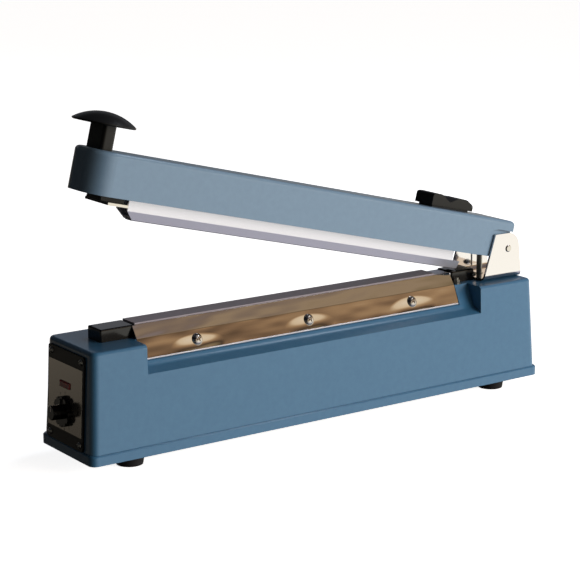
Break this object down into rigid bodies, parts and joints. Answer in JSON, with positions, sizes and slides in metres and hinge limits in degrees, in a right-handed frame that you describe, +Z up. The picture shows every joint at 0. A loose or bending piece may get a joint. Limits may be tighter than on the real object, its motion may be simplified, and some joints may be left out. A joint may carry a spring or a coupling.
{
  "type": "hand impulse sealer with film cutter",
  "caption": "Hand-operated impulse sealer: long cast base with panel and dial, hinged arm with mushroom handle, floating press bar and sliding film cutter.",
  "frame": {"origin": "on the plane of the feet, under the middle of the base", "axes": "+X along the machine from the control panel to the hinge, +Z up, +Y away from the side the picture shows"},
  "size_m": [0.4727, 0.082, 0.2719],
  "materials": {
    "painted_blue": "hammertone enamel on an aluminium casting",
    "polished_steel": "polished stainless sheet",
    "zinc_steel": "zinc-plated fasteners",
    "raw_aluminium": "satin anodised extrusion",
    "black_plastic": "black moulding",
    "satin_black": "black satin moulding",
    "black_panel": "black enamel plate",
    "label_grey": "grey printed film",
    "red_lens": "red translucent lens",
    "rubber_black": "moulded foot",
    "silicone": "grey silicone",
    "ptfe": "coated glass cloth",
    "nichrome": "resistance ribbon",
    "brass": "terminal brass",
    "laminated_steel": "transformer laminations",
    "winding": "wrapped winding",
    "board_green": "circuit board",
    "spring_steel": "spring wire",
    "blade_steel": "ground blade",
    "phenolic": "switch and terminal mouldings"
  },
  "bodies": {
    "base": {"base_housing": "painted_blue", "bottom_plate": "zinc_steel", "bottom_plate_screws": "zinc_steel", "rubber_feet": "rubber_black", "foot_screws": "zinc_steel", "seal_platform": "raw_aluminium", "platform_screws": "zinc_steel", "insulating_strip": "ptfe", "heating_element": "nichrome", "ptfe_cloth": "ptfe", "near_clamp_plate": "polished_steel", "far_clamp_plate": "polished_steel", "clamp_screws": "polished_steel", "front_end_cap": "black_plastic", "rear_end_cap": "black_plastic", "element_terminals": "brass", "earth_terminal": "zinc_steel", "hinge_bracket": "polished_steel", "bracket_screws": "zinc_steel", "hinge_pin": "polished_steel", "return_spring": "spring_steel", "panel_plate": "black_panel", "panel_label": "label_grey", "panel_screws": "zinc_steel", "lamp_lens": "red_lens", "lamp_body": "phenolic", "timer_potentiometer": "zinc_steel", "timer_board": "board_green", "transformer_core": "laminated_steel", "transformer_coil": "winding", "micro_switch": "phenolic", "switch_bracket": "zinc_steel", "terminal_block": "phenolic", "cord_inlet": "satin_black", "fuse_holder": "black_plastic"},
    "arm": {"arm_casting": "painted_blue", "contact_plate": "polished_steel", "contact_spacer": "satin_black", "contact_screws": "zinc_steel", "handle_stem": "satin_black", "handle_cap": "satin_black", "handle_bolt": "zinc_steel", "bar_springs": "spring_steel"},
    "floating_bar": {"press_bar": "raw_aluminium", "silicone_pad": "silicone", "bar_guide_pins": "zinc_steel"},
    "carriage": {"cutter_carriage": "zinc_steel", "cutter_springs": "spring_steel"},
    "cutter": {"cutter_knob": "satin_black", "cutter_blade": "blade_steel"},
    "dial": {"timer_dial": "black_plastic", "timer_shaft": "zinc_steel"},
    "plunger": {"switch_plunger": "zinc_steel"}
  },
  "joints": [
    {"name": "arm_hinge", "type": "hinge", "parent": "base", "child": "arm", "pos_m": [0.2033, 0, 0.1215], "axis": [0, -1, 0], "range_deg": [0, 13.8], "stiffness_Nm_per_rad": 1.2, "springref_deg": -80.21, "deforming": ["return_spring"]},
    {"name": "press_bar_float", "type": "slide", "parent": "arm", "child": "floating_bar", "axis": [0.2385, 0, 0.9711], "range_m": [0, 0.0106], "stiffness_N_per_m": 300, "springref_m": -0.008, "deforming": ["bar_springs"]},
    {"name": "cutter_slide", "type": "slide", "parent": "arm", "child": "carriage", "axis": [-0.9711, 0, 0.2385], "range_m": [0, 0.286]},
    {"name": "cutter_press", "type": "slide", "parent": "carriage", "child": "cutter", "axis": [-0.2385, 0, -0.9711], "range_m": [0, 0.0014], "stiffness_N_per_m": 900, "springref_m": -0.001, "deforming": ["cutter_springs"]},
    {"name": "timer_turn", "type": "hinge", "parent": "base", "child": "dial", "pos_m": [-0.22312, 0.0024, 0.04201], "axis": [0.9988, 0, -0.0494], "range_deg": [-60, 240]},
    {"name": "switch_push", "type": "slide", "parent": "base", "child": "plunger", "axis": [0, 0, -1], "range_m": [0, 0.0026], "stiffness_N_per_m": 200, "springref_m": -0.002}
  ],
  "couplings": [
    {"joint": "press_bar_float", "follows": "arm_hinge", "m_per_rad": 0.044009},
    {"joint": "switch_push", "follows": "arm_hinge", "m_per_rad": 0.010546}
  ]
}
